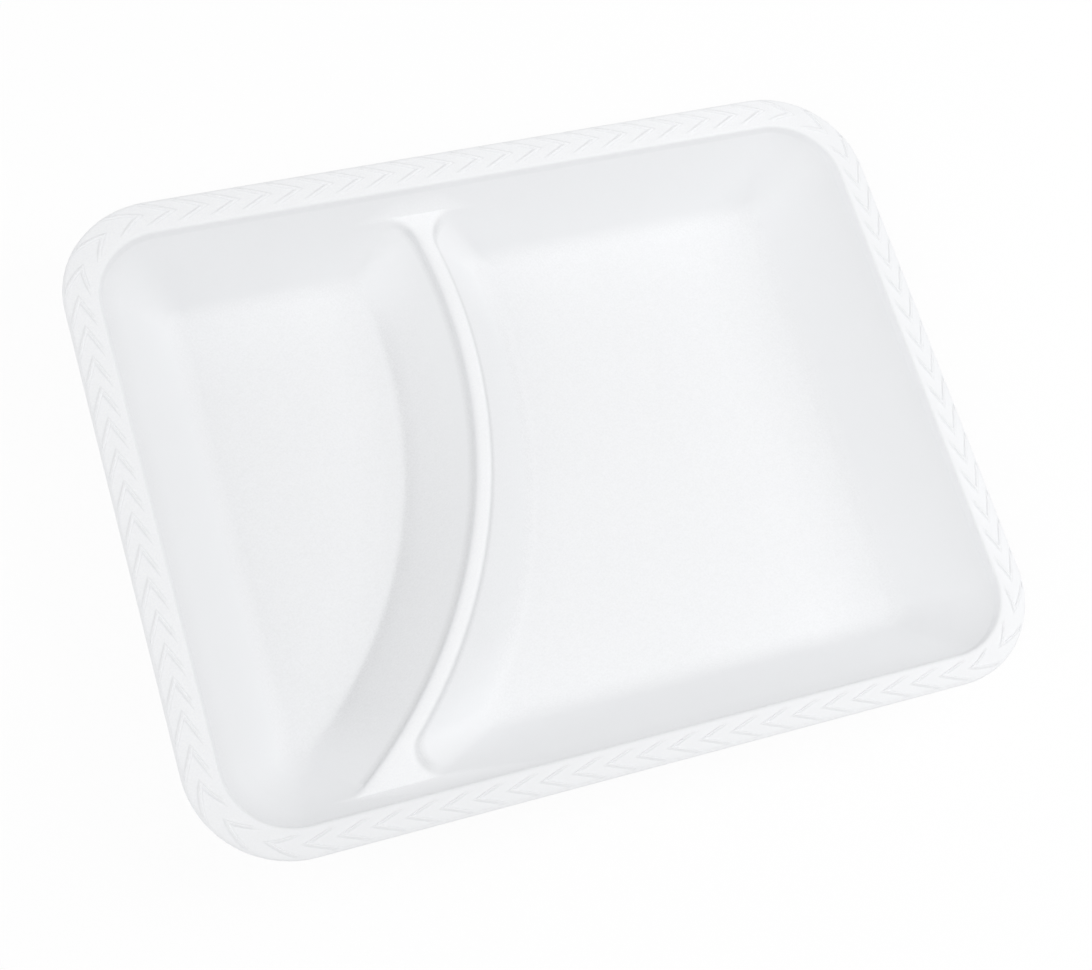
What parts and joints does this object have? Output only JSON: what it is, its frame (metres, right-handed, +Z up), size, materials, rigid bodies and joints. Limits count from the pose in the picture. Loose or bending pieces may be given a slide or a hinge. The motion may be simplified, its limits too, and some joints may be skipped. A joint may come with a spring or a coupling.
{
  "type": "foam compartment plate",
  "caption": "Shallow rectangular foam plate with rounded corners, a raised chevron rim and a curved divider that makes a small and a large compartment.",
  "frame": {"origin": "middle of the flat underside, on the surface that the plate stands on", "axes": "+X along the plate's length towards the large compartment, +Y across it, +Z up out of the compartments"},
  "size_m": [0.235, 0.184, 0.0253],
  "materials": {
    "foam": "matt white foam skin with a fine grain"
  },
  "bodies": {
    "root": {"plate": "foam"}
  },
  "joints": []
}
